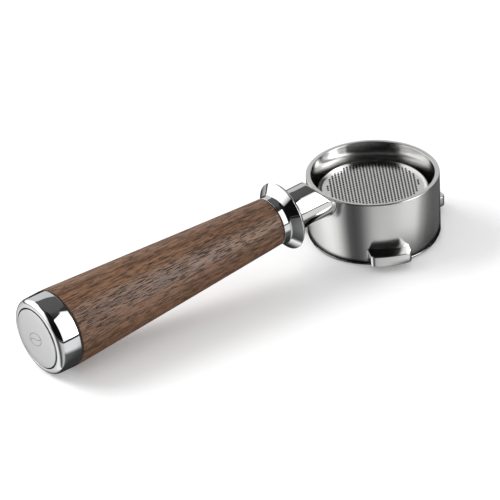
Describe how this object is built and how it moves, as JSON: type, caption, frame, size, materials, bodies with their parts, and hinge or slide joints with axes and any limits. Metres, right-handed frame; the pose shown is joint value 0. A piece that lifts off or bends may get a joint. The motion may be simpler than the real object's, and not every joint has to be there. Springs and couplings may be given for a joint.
{
  "type": "bottomless portafilter",
  "caption": "Bottomless portafilter with a brazed three-lug head, lift-out filter basket, flared chrome collar, turned walnut grip and chrome end cap.",
  "frame": {"origin": "on the head's axis, in the plane of the basket's flange, which is also the plane the part stands on mouth down", "axes": "+Z along the head's axis from its mouth towards its open bottom; the handle runs along -X and drops towards z = 0"},
  "size_m": [0.2342, 0.0737, 0.046],
  "materials": {
    "head_steel": "polished",
    "basket_steel": "satin",
    "spring_steel": "drawn wire",
    "trim_chrome": "mirror",
    "seal_rubber": "matt",
    "grip_wood": "oiled walnut",
    "insert_brass": "turned",
    "bolt_steel": "zinc plated",
    "medallion_steel": "satin",
    "pad_foam": "foam tape"
  },
  "bodies": {
    "head": {"head_ring": "head_steel", "neck_stub": "head_steel", "lug_front": "head_steel", "lug_left": "head_steel", "lug_right": "head_steel", "collar": "trim_chrome", "collar_washer": "seal_rubber", "neck_oring": "seal_rubber", "grip": "grip_wood", "grip_insert_front": "insert_brass", "grip_insert_rear": "insert_brass", "tie_bolt": "bolt_steel", "plain_washer": "bolt_steel", "spring_washer": "bolt_steel", "end_cap": "trim_chrome", "end_cap_gasket": "seal_rubber", "medallion": "medallion_steel", "medallion_pad": "pad_foam"},
    "clip": {"basket_clip": "spring_steel"},
    "basket": {"filter_basket": "basket_steel"}
  },
  "joints": [
    {"name": "clip_turn", "type": "hinge", "parent": "head", "child": "clip", "pos_m": [0, 0, 0.0062], "axis": [0, 0, 1], "continuous": true},
    {"name": "basket_lift", "type": "slide", "parent": "clip", "child": "basket", "axis": [0, 0, -1], "range_m": [0, 0.035]}
  ]
}
